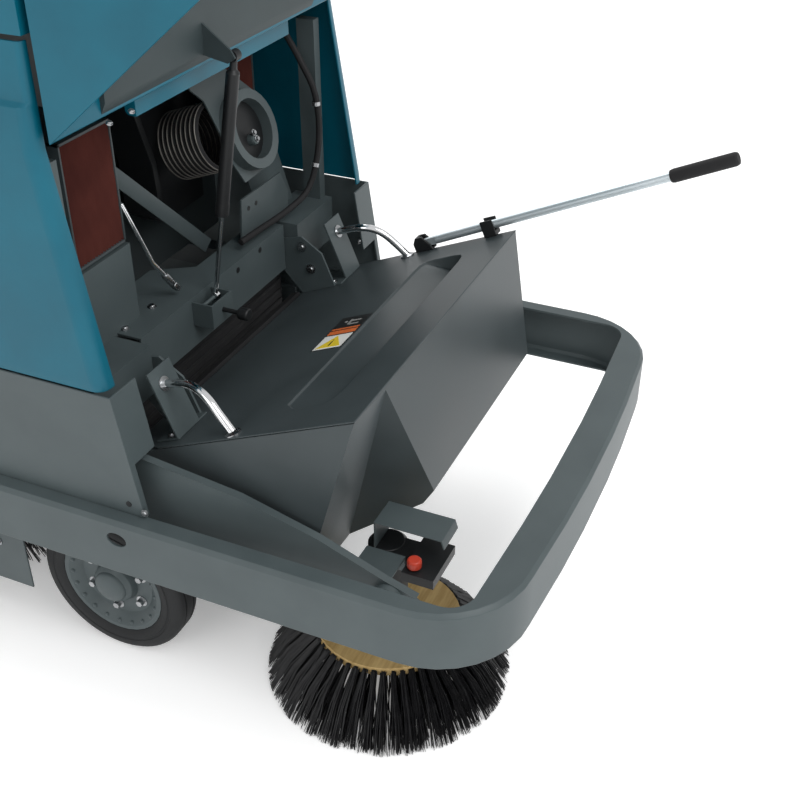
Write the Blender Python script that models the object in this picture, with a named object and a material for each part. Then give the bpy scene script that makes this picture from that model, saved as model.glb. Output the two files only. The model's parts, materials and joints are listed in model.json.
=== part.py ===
"""Ride-on sweeper: front hopper, raised front hood, side brush, main brush and driver's place.

Metres, +Z up, the front of the machine faces -Y and its right-hand side faces -X.
The origin is on the floor under the middle of the machine.
The hopper is drawn level and the hood closed; their empties then turn them to the rest pose,
which has the hopper lifted and the hood open.
"""
import math

import bmesh
import bpy
from mathutils import Matrix, Vector

# ------------------------------------------------------------------ driving sizes
GAP = 0.0003                     # clearance between pieces that touch
HALF_LENGTH = 1.0551             # half the length from the lever's tip to the rear bumper
HALF_WIDTH = 0.514               # outer face of the bumper rail
SHEET = 0.004                    # thickness of the bent sheet pieces

RAIL_LOW, RAIL_TOP = 0.297, 0.416
RAIL_SIDE_WIDTH = 0.036
RAIL_FRONT_WIDTH = 0.066
RAIL_FRONT = -0.944
RAIL_BOW = 0.014                 # how far the middle of the front rail bulges forward
RAIL_CORNER = 0.165
RAIL_REAR = 0.960

WHEEL_RADIUS = 0.155
WHEEL_WIDTH = 0.066
TRACK_HALF = 0.391
FRONT_AXLE = (-0.132, WHEEL_RADIUS)      # y, z
REAR_AXLE = (0.760, WHEEL_RADIUS)
MAIN_BRUSH = (0.235, 0.160)
MAIN_BRUSH_RADIUS = 0.158

HOPPER_PIVOT = (-0.130, 0.560)
HOPPER_LIFT = math.radians(22.8)
HOPPER_HALF = 0.380
LID_LEVEL = 0.443                # top of the lid when the hopper is lowered
LID_REAR, LID_FRONT = -0.136, -0.6285

LEVER_X = 0.380
LEVER_PIVOT = (-0.4248, 0.4589)  # y, z with the hopper level
LEVER_RISE = math.radians(2.2)   # slope of the lever above the level lid
LEVER_LENGTH = 0.6725

HOOD_HINGE = (-0.203, 1.052)
HOOD_OPEN = math.radians(121.6)
HOOD_HALF = 0.462
HOOD_SLOPE = math.radians(31.6)  # fall of the closed hood's top
HOOD_LENGTH = 0.355
LEAN = math.radians(8.3)         # backward lean of the body's front edge

STUD = (-0.1907, 0.9883)        # ball stud on the closed hood, y and z
STRUT_X = -0.050
STRUT_FOOT = (-0.180, 0.605)
STRUT_HEAD = (-0.264, 1.075)

SIDE_BRUSH = (-0.248, -0.630)
SIDE_BRUSH_RADIUS = 0.233
SIDE_DISC_RADIUS = 0.137
ARM_PIVOT = (-0.200, 0.470)      # y, z of the side brush arm's hinge

FAN_CENTRE = (0.222, -0.128, 0.838)      # middle of the inlet ring's front face
FAN_LEAN = math.radians(20)
DUCT_CENTRE = (0.147, 0.855)     # x and z before the lean
BODY_HALF = 0.475                # teal side panels
SKIRT_HALF = 0.483
SKIRT_TOP = 0.647
COWL_TOP = 1.300

# ------------------------------------------------------------------ materials
COLOURS = {
    "teal_plastic": ((0.000, 0.130, 0.190), 0.0, 0.38),
    "grey_paint": ((0.075, 0.098, 0.104), 0.1, 0.45),
    "dark_paint": ((0.030, 0.040, 0.044), 0.1, 0.50),
    "liner_plastic": ((0.100, 0.125, 0.130), 0.0, 0.55),
    "black_plastic": ((0.010, 0.011, 0.012), 0.0, 0.50),
    "rubber": ((0.015, 0.015, 0.016), 0.0, 0.80),
    "bristle": ((0.012, 0.013, 0.014), 0.0, 0.70),
    "plywood": ((0.430, 0.310, 0.120), 0.0, 0.70),
    "filter": ((0.075, 0.018, 0.014), 0.0, 0.90),
    "chrome": ((0.750, 0.760, 0.770), 1.0, 0.12),
    "aluminium": ((0.520, 0.590, 0.620), 1.0, 0.35),
    "steel": ((0.350, 0.360, 0.370), 1.0, 0.30),
    "red_plastic": ((0.500, 0.040, 0.020), 0.0, 0.40),
    "seat_vinyl": ((0.020, 0.021, 0.023), 0.0, 0.60),
}
MATERIALS = {}


def make_material(name, colour, metallic, roughness):
    """A Principled material with the piece's colour, metallic value and roughness."""
    mat = bpy.data.materials.new(name)
    mat.use_nodes = True
    shader = mat.node_tree.nodes["Principled BSDF"]
    shader.inputs["Base Color"].default_value = (*colour, 1.0)
    shader.inputs["Metallic"].default_value = metallic
    shader.inputs["Roughness"].default_value = roughness
    mat.diffuse_color = (*colour, 1.0)
    return mat


# ------------------------------------------------------------------ mesh helpers
AXES = {"X": 0, "Y": 1, "Z": 2}


def on_plane(axis, along, first, second):
    """A point from its position along an axis and its two other coordinates in order."""
    coords = [first, second]
    coords.insert(AXES[axis], along)
    return Vector(coords)


def box(low, high):
    """A block between two opposite corners."""
    bm = bmesh.new()
    bmesh.ops.create_cube(bm, size=1.0)
    size = Vector(high) - Vector(low)
    centre = (Vector(high) + Vector(low)) / 2
    bmesh.ops.transform(bm, matrix=Matrix.LocRotScale(centre, None, size), verts=bm.verts)
    return bm


def prism(axis, outline, low, high):
    """An outline in the two other axes, extruded along an axis from low to high."""
    bm = bmesh.new()
    ends = [[bm.verts.new(on_plane(axis, along, a, b)) for a, b in outline] for along in (low, high)]
    count = len(outline)
    for verts in ends:
        bm.faces.new(verts)
    for i in range(count):
        j = (i + 1) % count
        bm.faces.new((ends[0][i], ends[0][j], ends[1][j], ends[1][i]))
    bmesh.ops.recalc_face_normals(bm, faces=bm.faces)
    return bm


def lathe(axis, centre, profile, steps):
    """A closed profile of (radius, place along the axis) pairs turned about a line along an axis."""
    bm = bmesh.new()
    rings = []
    for radius, along in profile:
        if radius < 1e-9:
            rings.append([bm.verts.new(on_plane(axis, along, *centre))])
            continue
        ring = []
        for step in range(steps):
            angle = math.tau * step / steps
            spot = (centre[0] + radius * math.cos(angle), centre[1] + radius * math.sin(angle))
            ring.append(bm.verts.new(on_plane(axis, along, *spot)))
        rings.append(ring)
    pairs = list(zip(rings, rings[1:] + rings[:1]))
    for a, b in pairs:
        for i in range(steps):
            j = (i + 1) % steps
            if len(a) == 1 and len(b) == 1:
                break
            if len(a) == 1:
                bm.faces.new((a[0], b[i], b[j]))
            elif len(b) == 1:
                bm.faces.new((a[i], a[j], b[0]))
            else:
                bm.faces.new((a[i], a[j], b[j], b[i]))
    bmesh.ops.recalc_face_normals(bm, faces=bm.faces)
    return bm


def bridge(bm, ring_a, ring_b):
    """Faces between two rings of the same count."""
    count = len(ring_a)
    for i in range(count):
        j = (i + 1) % count
        bm.faces.new((ring_a[i], ring_a[j], ring_b[j], ring_b[i]))


def trim(bm, point, normal):
    """Cut a closed mesh by a plane and drop the part the normal points to."""
    everything = list(bm.verts) + list(bm.edges) + list(bm.faces)
    result = bmesh.ops.bisect_plane(bm, geom=everything, plane_co=point, plane_no=normal, clear_outer=True)
    edges = [item for item in result["geom_cut"] if isinstance(item, bmesh.types.BMEdge)]
    bmesh.ops.contextual_create(bm, geom=edges)
    bmesh.ops.recalc_face_normals(bm, faces=bm.faces)
    return bm


def disc(axis, centre, radius, low, high, steps=24):
    """A plain cylinder along an axis."""
    return lathe(axis, centre, [(0, low), (radius, low), (radius, high), (0, high)], steps)


def sweep(points, section):
    """A closed section of (side, up) offsets carried along an open line of points."""
    points = [Vector(p) for p in points]
    bm = bmesh.new()
    rings = []
    tangent = (points[1] - points[0]).normalized()
    helper = Vector((0, 0, 1)) if abs(tangent.z) < 0.9 else Vector((1, 0, 0))
    side = tangent.cross(helper).normalized()
    for i, point in enumerate(points):
        before = points[max(i - 1, 0)]
        after = points[min(i + 1, len(points) - 1)]
        tangent = (after - before).normalized()
        side = (side - tangent * side.dot(tangent)).normalized()
        up = side.cross(tangent)
        rings.append([bm.verts.new(point + side * a + up * b) for a, b in section])
    count = len(section)
    for a, b in zip(rings, rings[1:]):
        for i in range(count):
            j = (i + 1) % count
            bm.faces.new((a[i], a[j], b[j], b[i]))
    bm.faces.new(rings[0])
    bm.faces.new(rings[-1])
    bmesh.ops.recalc_face_normals(bm, faces=bm.faces)
    return bm


def rod(points, radius, sides=12):
    """A round bar or closed tube through a line of points."""
    turn = [math.tau * i / sides for i in range(sides)]
    return sweep(points, [(radius * math.cos(t), radius * math.sin(t)) for t in turn])


def arc(centre, radius, start, end, steps):
    """Points on a circle, angles in degrees."""
    points = []
    for i in range(steps + 1):
        angle = math.radians(start + (end - start) * i / steps)
        points.append((centre[0] + radius * math.cos(angle), centre[1] + radius * math.sin(angle)))
    return points


def strip(path, thickness):
    """The closed outline of a bent sheet: an open path thickened to its left-hand side."""
    points = [Vector(p) for p in path]
    normals = []
    for a, b in zip(points, points[1:]):
        run = (b - a).normalized()
        normals.append(Vector((-run.y, run.x)))
    offset = []
    for i, point in enumerate(points):
        before = normals[max(i - 1, 0)]
        after = normals[min(i, len(normals) - 1)]
        mean = (before + after).normalized()
        offset.append(point + mean * (thickness / mean.dot(after)))
    return [tuple(p) for p in points] + [tuple(p) for p in reversed(offset)]


def smooth_path(points, steps):
    """A Catmull-Rom curve through hand-placed points."""
    points = [Vector(p) for p in points]
    ends = [2 * points[0] - points[1]] + points + [2 * points[-1] - points[-2]]
    line = []
    for p0, p1, p2, p3 in zip(ends, ends[1:], ends[2:], ends[3:]):
        for i in range(steps):
            t = i / steps
            line.append(0.5 * (2 * p1 + (p2 - p0) * t + (2 * p0 - 5 * p1 + 4 * p2 - p3) * t * t
                               + (3 * p1 - p0 - 3 * p2 + p3) * t ** 3))
    line.append(points[-1])
    return line


def shear_front(bm, level):
    """Lean a mesh backward with height, leaving it in place at one level."""
    for vert in bm.verts:
        vert.co.y += (vert.co.z - level) * math.tan(LEAN)
    return bm


# ------------------------------------------------------------------ scene helpers
def group(name, pivot=(0, 0, 0), turn=0.0, parent=None):
    """An empty on a joint's axis. Meshes on it are drawn in its parent's frame before the turn."""
    empty = bpy.data.objects.new(name, None)
    bpy.context.collection.objects.link(empty)
    base = Vector(parent["pivot"]) if parent else Vector((0, 0, 0))
    empty.location = Vector(pivot) - base
    empty.rotation_euler = (turn, 0, 0)
    empty.parent = parent
    empty["pivot"] = pivot
    return empty


def add(name, bm, slot, parent=None):
    """Turn a bmesh into a named object, drawn about its parent's pivot."""
    if parent:
        bmesh.ops.translate(bm, vec=-Vector(parent["pivot"]), verts=bm.verts)
    mesh = bpy.data.meshes.new(name)
    bm.to_mesh(mesh)
    bm.free()
    mesh.shade_smooth()
    mesh.set_sharp_from_angle(angle=math.radians(32))
    mesh.materials.append(MATERIALS[slot])
    obj = bpy.data.objects.new(name, mesh)
    bpy.context.collection.objects.link(obj)
    obj.parent = parent
    return obj


def guide(obj, bm, label):
    """A hidden shape that works on a piece."""
    name = f"{obj.name}.{label}"
    if obj.parent:
        bmesh.ops.translate(bm, vec=-Vector(obj.parent["pivot"]), verts=bm.verts)
    mesh = bpy.data.meshes.new(name)
    bm.to_mesh(mesh)
    bm.free()
    shape = bpy.data.objects.new(name, mesh)
    bpy.context.collection.objects.link(shape)
    shape.parent = obj.parent
    shape.hide_render = True
    shape.display_type = "WIRE"
    return shape


def combine(obj, shape, operation):
    """Join or cut a piece with a guide."""
    step = obj.modifiers.new(shape.name.split(".")[-1], "BOOLEAN")
    step.operation = operation
    step.object = shape
    step.solver = "EXACT"


def join(obj, *shapes):
    """Weld further shapes onto a piece."""
    for i, bm in enumerate(shapes):
        combine(obj, guide(obj, bm, f"weld{i}"), "UNION")


def cut(obj, *shapes):
    """Cut shapes out of a piece."""
    for i, bm in enumerate(shapes):
        combine(obj, guide(obj, bm, f"cut{i}"), "DIFFERENCE")


# ------------------------------------------------------------------ rail and chassis
def rail_lines():
    """The rail's outer and inner edges seen from above, as pairs of points round the front."""
    corner_y = RAIL_FRONT + RAIL_BOW + RAIL_CORNER
    corner_x = HALF_WIDTH - RAIL_CORNER
    inner_x = HALF_WIDTH - RAIL_SIDE_WIDTH
    inner_y = RAIL_FRONT + RAIL_BOW + RAIL_FRONT_WIDTH
    hook = 0.045
    outer = [(-HALF_WIDTH, RAIL_REAR)] + arc((-corner_x, corner_y), RAIL_CORNER, 180, 270, 8)
    inner = [(-inner_x, RAIL_REAR)] + arc((-inner_x + hook, inner_y + hook), hook, 180, 270, 8)
    pairs = list(zip(outer, inner))
    for x in (-0.200, -0.080):
        sag = RAIL_BOW * (1 - (x / corner_x) ** 2)
        pairs.append(((x, inner_y - RAIL_FRONT_WIDTH - sag), (x * 1.2, inner_y - sag)))
    mirrored = [((-a[0], a[1]), (-b[0], b[1])) for a, b in reversed(pairs)]
    return pairs + mirrored


def build_rail():
    """Bumper rail: one bent channel, open to the inside, round both sides and the front."""
    wall, edge = 0.005, 0.007
    low, top = RAIL_LOW, RAIL_TOP
    pairs = [(Vector(a), Vector(b)) for a, b in rail_lines()]
    bm = bmesh.new()
    rings = []
    for i, (outer, inner) in enumerate(pairs):
        before = (outer - pairs[i - 1][0]).normalized() if i else None
        after = (pairs[i + 1][0] - outer).normalized() if i + 1 < len(pairs) else None
        run = ((before or after) + (after or before)).normalized()
        inward = Vector((-run.y, run.x)) / math.cos(run.angle(after or before))
        section = [(inner, top), (outer + inward * edge, top), (outer, top - edge), (outer, low + edge),
                   (outer + inward * edge, low), (inner, low), (inner, low + wall),
                   (outer + inward * (edge + 0.004), low + wall), (outer + inward * wall, low + edge + 0.004),
                   (outer + inward * wall, top - edge - 0.004), (outer + inward * (edge + 0.004), top - wall),
                   (inner, top - wall)]
        rings.append([bm.verts.new((*spot, z)) for spot, z in section])
    for a, b in zip(rings, rings[1:]):
        bridge(bm, a, b)
    bm.faces.new(rings[0])
    bm.faces.new(rings[-1])
    bmesh.ops.recalc_face_normals(bm, faces=bm.faces)
    rail = add("bumper_rail", bm, "grey_paint")
    hole = lathe("X", (0, 0), [(0, -0.53), (0.014, -0.53), (0.014, -0.50), (0, -0.50)], 16)
    bmesh.ops.transform(hole, matrix=Matrix.Translation((0, -0.245, 0.378)) @ Matrix.Diagonal((1, 1.4, 1, 1)),
                        verts=hole.verts)
    cut(rail, hole)

    rear = prism("Y", [(-0.50, RAIL_LOW), (0.50, RAIL_LOW), (0.514, RAIL_LOW + 0.014), (0.514, RAIL_TOP),
                       (-0.514, RAIL_TOP), (-0.514, RAIL_LOW + 0.014)], RAIL_REAR + GAP, HALF_LENGTH)
    add("rear_bumper", rear, "grey_paint")


def build_chassis():
    """Welded frame: two long tubes on three cross tubes bolted between the rails, and the wheel brackets."""
    low, high, reach = 0.412, 0.503, HALF_WIDTH - RAIL_SIDE_WIDTH - GAP
    frame = add("chassis_frame", box((-reach, 0.005, low), (reach, 0.045, 0.4567)), "dark_paint")
    pieces = [box((-reach, y, low), (reach, y + 0.040, 0.4567)) for y in (0.520, 0.915)]
    for sign in (-1, 1):
        ends = sorted((sign * reach, sign * (reach - 0.004)))
        pieces += [box((ends[0], y - 0.020, 0.300), (ends[1], y + 0.060, 0.440)) for y in (0.005, 0.520)]
        x = sorted((sign * 0.300, sign * 0.340))
        pieces.append(box((x[0], -0.085, 0.456), (x[1], 0.955, high)))
        # stub axle plate between the hopper and the wheel, hung from the front cross tube
        plate = [(-0.190, 0.115), (-0.110, 0.115), (-0.045, 0.405), (0.024, 0.405), (0.024, 0.420),
                 (-0.128, 0.420), (-0.130, 0.335), (-0.190, 0.220)]
        pieces.append(prism("X", plate, *sorted((sign * 0.3475, sign * 0.3555))))
        pieces.append(disc("X", FRONT_AXLE, 0.018, *sorted((sign * 0.352, sign * 0.409)), 16))
    y = REAR_AXLE[0]
    pieces.append(box((-0.301, y - 0.055, 0.458), (0.301, y + 0.055, 0.476)))
    pieces.append(lathe("Z", (0, y), [(0.020, 0.4175), (0.070, 0.4175), (0.070, 0.461), (0.020, 0.461)], 24))
    join(frame, *pieces)


# ------------------------------------------------------------------ wheels
def tyre_profile(width, outer, inner):
    """Half-round shouldered tyre section as (radius, place) pairs about its own middle."""
    half = width / 2
    return [(inner, -half * 0.86), (inner + 0.018, -half), (outer - 0.022, -half),
            (outer - 0.006, -half * 0.80), (outer, -half * 0.52), (outer, half * 0.52),
            (outer - 0.006, half * 0.80), (outer - 0.022, half),
            (inner + 0.018, half), (inner, half * 0.86)]


def shifted(profile, centre, flip=1):
    """Move a profile along its axis, mirrored when flip is -1."""
    return [(radius, centre + flip * along) for radius, along in profile]


def build_front_wheels():
    """Tyre and pressed steel disc on each front stub axle."""
    bore = 0.0185
    for side, sign in (("right", -1), ("left", 1)):
        hub = group(f"axle_{side}", (sign * TRACK_HALF, *FRONT_AXLE))
        tyre = tyre_profile(WHEEL_WIDTH, WHEEL_RADIUS, 0.1095)
        add(f"front_tyre_{side}", lathe("X", FRONT_AXLE, shifted(tyre, sign * TRACK_HALF), 40), "rubber", hub)
        wheel = [(bore, -0.026), (bore, 0.019), (0, 0.019), (0, 0.032), (0.034, 0.032), (0.042, 0.024),
                 (0.046, 0.010), (0.078, 0.010), (0.088, 0.020), (0.100, 0.028), (0.1090, 0.028),
                 (0.1090, -0.028), (0.100, -0.028), (0.090, 0.000), (0.046, 0.000), (0.036, -0.026)]
        rim = lathe("X", FRONT_AXLE, shifted(wheel, sign * TRACK_HALF, sign), 32)
        add(f"front_rim_{side}", rim, "grey_paint", hub)


def build_rear_wheel():
    """Steered rear wheel in its fork under the frame."""
    y, z = REAR_AXLE
    fork_axis = group("rear_steer_axis", (0, y, 0.30))
    outline = strip([(-0.070, 0.110), (-0.070, 0.350), (0.070, 0.350), (0.070, 0.110)], -0.010)
    fork = add("rear_fork", prism("Y", outline, y - 0.035, y + 0.035), "dark_paint", fork_axis)
    join(fork, disc("X", (y, z), 0.014, -0.078, 0.078, 16), disc("Z", (0, y), 0.045, 0.345, 0.4160, 24))
    hub = group("rear_axle", (0, y, z), parent=fork_axis)
    bore = 0.0145
    tyre = tyre_profile(0.100, WHEEL_RADIUS, 0.105)
    add("rear_tyre", lathe("X", REAR_AXLE, tyre, 40), "rubber", hub)
    wheel = [(bore, -0.045), (0.040, -0.045), (0.046, -0.012), (0.080, -0.012), (0.092, -0.042),
             (0.1045, -0.042), (0.1045, 0.042), (0.092, 0.042), (0.080, 0.012), (0.046, 0.012),
             (0.040, 0.045), (bore, 0.045)]
    add("rear_rim", lathe("X", REAR_AXLE, wheel, 32), "grey_paint", hub)


# ------------------------------------------------------------------ main brush
def build_main_brush():
    """Cylindrical main brush, the housing over it and the plates that close its sides."""
    brush_axis = group("main_brush_axis", (0, *MAIN_BRUSH))
    roll = [(0, -0.336), (0.045, -0.336), (0.050, -0.330), (MAIN_BRUSH_RADIUS, -0.325),
            (MAIN_BRUSH_RADIUS, 0.325), (0.050, 0.330), (0.045, 0.336), (0, 0.336)]
    add("main_brush", lathe("X", MAIN_BRUSH, roll, 36), "bristle", brush_axis)
    y, z = MAIN_BRUSH
    path = [(-0.105, z + 0.185), (y, z + 0.185)] + arc((y, z), 0.185, 80, -28, 9)
    add("brush_housing", prism("X", strip(path, SHEET), -0.344, 0.344), "dark_paint")
    for side, sign in (("right", -1), ("left", 1)):
        x = sorted((sign * 0.4465, sign * 0.4505))
        outline = [(0.036, 0.113), (0.470, 0.113), (0.470, 0.4155), (0.050, 0.4155), (0.036, 0.400)]
        plate = prism("X", outline, *x)
        add(f"brush_side_plate_{side}", plate, "grey_paint")


# ------------------------------------------------------------------ hopper
def hopper_frame():
    """The empty on the hopper's pivot line, turned to the lifted rest pose."""
    return group("hopper_pivot", (0, *HOPPER_PIVOT), -HOPPER_LIFT)


TUB_TOP = LID_LEVEL - 0.0040
TUB_SIDE = [(-0.1385, TUB_TOP), (-0.6265, TUB_TOP), (-0.5585, 0.165), (-0.5250, 0.140),
            (-0.3350, 0.116), (-0.3350, 0.345), (-0.1385, 0.345)]
TUB_CORE = [(-0.1385, TUB_TOP), (-0.6265, TUB_TOP), (-0.5585, 0.165), (-0.5250, 0.140), (-0.1500, 0.075),
            (-0.1385, 0.345)]


def notch(grow):
    """The corner taken out of the tub over the side brush: below one sloping plane, outside another.

    A positive grow moves both planes into the tub by a wall's thickness.
    """
    crown, peak = Vector((-0.380, -0.6285, 0.443)), Vector((-0.268, -0.6285, 0.443))
    low, inner = Vector((-0.151, -0.5585, 0.165)), Vector((-0.210, -0.428, 0.185))
    edge = Vector((-0.380, -0.4616, 0.234))
    over = (inner - edge).cross(crown - edge).normalized()
    if over.z < 0:
        over = -over
    beside = (low - peak).cross(inner - peak).normalized()
    if beside.x < 0:
        beside = -beside
    bm = box((-0.500, -0.750, -0.050), (-0.020, -0.250, LID_LEVEL + 0.010))
    trim(bm, edge + over * grow, over)
    return trim(bm, peak + beside * grow, beside)


def build_hopper():
    """Sheet steel tub: wide above the wheels, open at the top and towards the main brush."""
    hopper = hopper_frame()
    wall = 0.0035
    tub = add("hopper_tub", prism("X", TUB_SIDE, -HOPPER_HALF, HOPPER_HALF), "dark_paint", hopper)
    join(tub, prism("X", TUB_CORE, -0.338, 0.338))
    cut(tub, notch(0.0))
    inner = [(-0.1300, 0.460), (-0.6221, 0.460), (-0.6221, TUB_TOP - wall), (-0.5555, 0.168),
             (-0.5240, 0.1435), (-0.1300, 0.0750)]
    hollow = guide(tub, prism("X", inner, -0.338 + wall, 0.338 - wall), "hollow")
    cut(hollow, notch(wall))
    combine(tub, hollow, "DIFFERENCE")
    return hopper


def trough_lines(inset):
    """Back and front edges of the lid's long recess, as pairs of points from the near end to the far one."""
    near = [(-0.3070, -0.492, -0.505), (-0.3060, -0.470, -0.518), (-0.3000, -0.458, -0.527),
            (-0.2840, -0.440, -0.538), (-0.2600, -0.440, -0.543)]
    far = [(0.2600, -0.440, -0.543), (0.2850, -0.441, -0.540), (0.2980, -0.450, -0.533),
           (0.3030, -0.470, -0.515)]
    stations = near + [(x, -0.440, -0.545) for x in (-0.13, 0.0, 0.13)] + far
    shrink = 1 - inset / 0.305
    return [(x * shrink, back - inset, front + inset) for x, back, front in stations]


def build_lid(hopper):
    """Flat lid with a long pressed recess that deepens to the front and towards the lever."""
    corners = [(-HOPPER_HALF, -0.215), (-HOPPER_HALF, LID_FRONT), (HOPPER_HALF, LID_FRONT),
               (HOPPER_HALF, -0.215), (0.345, LID_REAR), (-0.345, LID_REAR)]
    bm = bmesh.new()
    sheet = 0.003
    rims = []
    for lower in (0.0, sheet):
        top = LID_LEVEL - lower
        rim = [bm.verts.new((x, y, top)) for x, y in corners]
        mouth = trough_lines(0.0)
        floor = trough_lines(0.002)
        back_mouth = [bm.verts.new((x, back, top)) for x, back, _ in mouth]
        front_mouth = [bm.verts.new((x, front, top)) for x, _, front in mouth]
        back_floor = [bm.verts.new((x, back, top - 0.004)) for x, back, _ in floor]
        front_floor = [bm.verts.new((x, front, top - 0.010 - 0.034 * (x + 0.31) / 0.61))
                       for x, _, front in floor]
        mouth_loop = back_mouth + front_mouth[::-1]
        floor_loop = back_floor + front_floor[::-1]
        border = [bm.edges.new((loop[i], loop[(i + 1) % len(loop)])) for loop in (rim, mouth_loop)
                  for i in range(len(loop))]
        bmesh.ops.triangle_fill(bm, use_beauty=True, use_dissolve=False, edges=border)
        bridge(bm, mouth_loop, floor_loop)
        for i in range(len(back_floor) - 1):
            bm.faces.new((back_floor[i], back_floor[i + 1], front_floor[i + 1], front_floor[i]))
        rims.append(rim)
    bridge(bm, *rims)
    bmesh.ops.triangulate(bm, faces=bm.faces)
    bmesh.ops.recalc_face_normals(bm, faces=bm.faces)
    add("hopper_lid", bm, "dark_paint", hopper)


def build_hopper_fittings(hopper):
    """Pivot arms, handle plates, grab handles, rear seal, lever knuckle and clip."""
    y, z = HOPPER_PIVOT
    base = LID_LEVEL + GAP
    for side, sign in (("right", -1), ("left", 1)):
        x = sorted((sign * 0.266, sign * 0.271))
        outline = [(y - 0.022, z + 0.014), (y + 0.014, z + 0.014), (y + 0.014, z - 0.022), (-0.150, base),
                   (-0.236, base), (-0.236, 0.520), (-0.205, 0.566)]
        arm = add(f"hopper_bracket_{side}", prism("X", outline, *x), "grey_paint", hopper)
        bolts = [disc("X", spot, 0.009, *sorted((sign * 0.268, sign * 0.264)), 12)
                 for spot in ((-0.197, 0.545), (-0.197, 0.493))]
        foot = sorted((sign * 0.270, sign * 0.361))
        handle = sorted((sign * 0.296, sign * 0.362))
        pin = disc("X", HOPPER_PIVOT, 0.0079, *sorted((sign * 0.268, sign * 0.292)), 16)
        join(arm, pin, box((foot[0], -0.251, base), (foot[1], -0.200, base + 0.003)),
             box((handle[0], -0.252, base + 0.001), (handle[1], -0.248, 0.572)), *bolts)
        path = [(0.334, -0.2530, 0.540), (0.337, -0.285, 0.538), (0.341, -0.310, 0.533),
                (0.347, -0.331, 0.522), (0.353, -0.347, 0.504), (0.359, -0.360, 0.478),
                (0.364, -0.374, base + 0.003)]
        path = [(sign * a, b, c) for a, b, c in path]
        add(f"grab_handle_{side}", rod(path, 0.0065, 10), "chrome", hopper)
    seal = prism("X", [(-0.1355, 0.4425), (-0.1355, 0.405), (-0.1305, 0.405), (-0.1305, 0.452),
                       (-0.150, 0.452), (-0.150, 0.4434), (-0.1355, 0.4434)], -0.255, 0.255)
    add("hopper_seal", seal, "rubber", hopper)

    y, z = LEVER_PIVOT
    knuckle = prism("X", [(y + 0.030, base), (y + 0.030, z + 0.004), (y + 0.022, z + 0.016),
                          (y + 0.006, z + 0.016), (y - 0.008, z - 0.004), (y - 0.012, base)],
                    LEVER_X - 0.012, LEVER_X + 0.012)
    block = add("lever_knuckle", knuckle, "black_plastic", hopper)
    cut(block, box((LEVER_X - 0.0065, y - 0.05, z - 0.0130), (LEVER_X + 0.0065, y + 0.014, z + 0.03)))
    clip_y = -0.575
    clip_z = z + (y - clip_y) * math.tan(LEVER_RISE)
    out = 0.0135
    walls = [(LEVER_X - out, base), (LEVER_X + out, base), (LEVER_X + out, clip_z + 0.014),
             (LEVER_X + out - 0.0035, clip_z + 0.014), (LEVER_X + out - 0.0035, clip_z - 0.011),
             (LEVER_X - out + 0.0035, clip_z - 0.011), (LEVER_X - out + 0.0035, clip_z + 0.014),
             (LEVER_X - out, clip_z + 0.014)]
    add("lever_clip", prism("Y", walls, clip_y - 0.014, clip_y + 0.014), "black_plastic", hopper)


def build_lever(hopper):
    """Aluminium lever with a flattened eye in the knuckle and a rubber grip."""
    y, z = LEVER_PIVOT
    lever = group("lever_pivot", (LEVER_X, y, z), -LEVER_RISE, hopper)
    grip_start = LEVER_LENGTH - 0.130
    bar = disc("Y", (LEVER_X, z), 0.0093, y - grip_start + GAP, y - 0.022, 16)
    tube = add("lever_tube", bar, "aluminium", lever)
    join(tube, box((LEVER_X - 0.0050, y - 0.060, z - 0.0080), (LEVER_X + 0.0050, y + 0.007, z + 0.0080)))
    grip = [(0, y - LEVER_LENGTH), (0.0110, y - LEVER_LENGTH), (0.0135, y - LEVER_LENGTH + 0.006),
            (0.0135, y - grip_start - 0.006), (0.0120, y - grip_start), (0, y - grip_start)]
    add("lever_grip", lathe("Y", (LEVER_X, z), grip, 16), "rubber", lever)


# ------------------------------------------------------------------ hood
def fall(distance, drop=0.0, angle=HOOD_SLOPE):
    """A point along the closed hood's top from the hinge, dropped square to it."""
    y, z = HOOD_HINGE
    return (y - distance * math.cos(angle) + drop * math.sin(angle) * -1,
            z - distance * math.sin(angle) - drop * math.cos(angle))


def hood_outline(inset):
    """The closed hood's side view: hinge corner, front edge against the body, nose and top."""
    y, z = HOOD_HINGE
    edge = 0.392
    corner = (y - edge * math.sin(LEAN), z - edge * math.cos(LEAN))
    nose = fall(HOOD_LENGTH, inset)
    chin = (nose[0] - 0.014, nose[1] - 0.085)
    return corner, nose, chin


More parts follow.
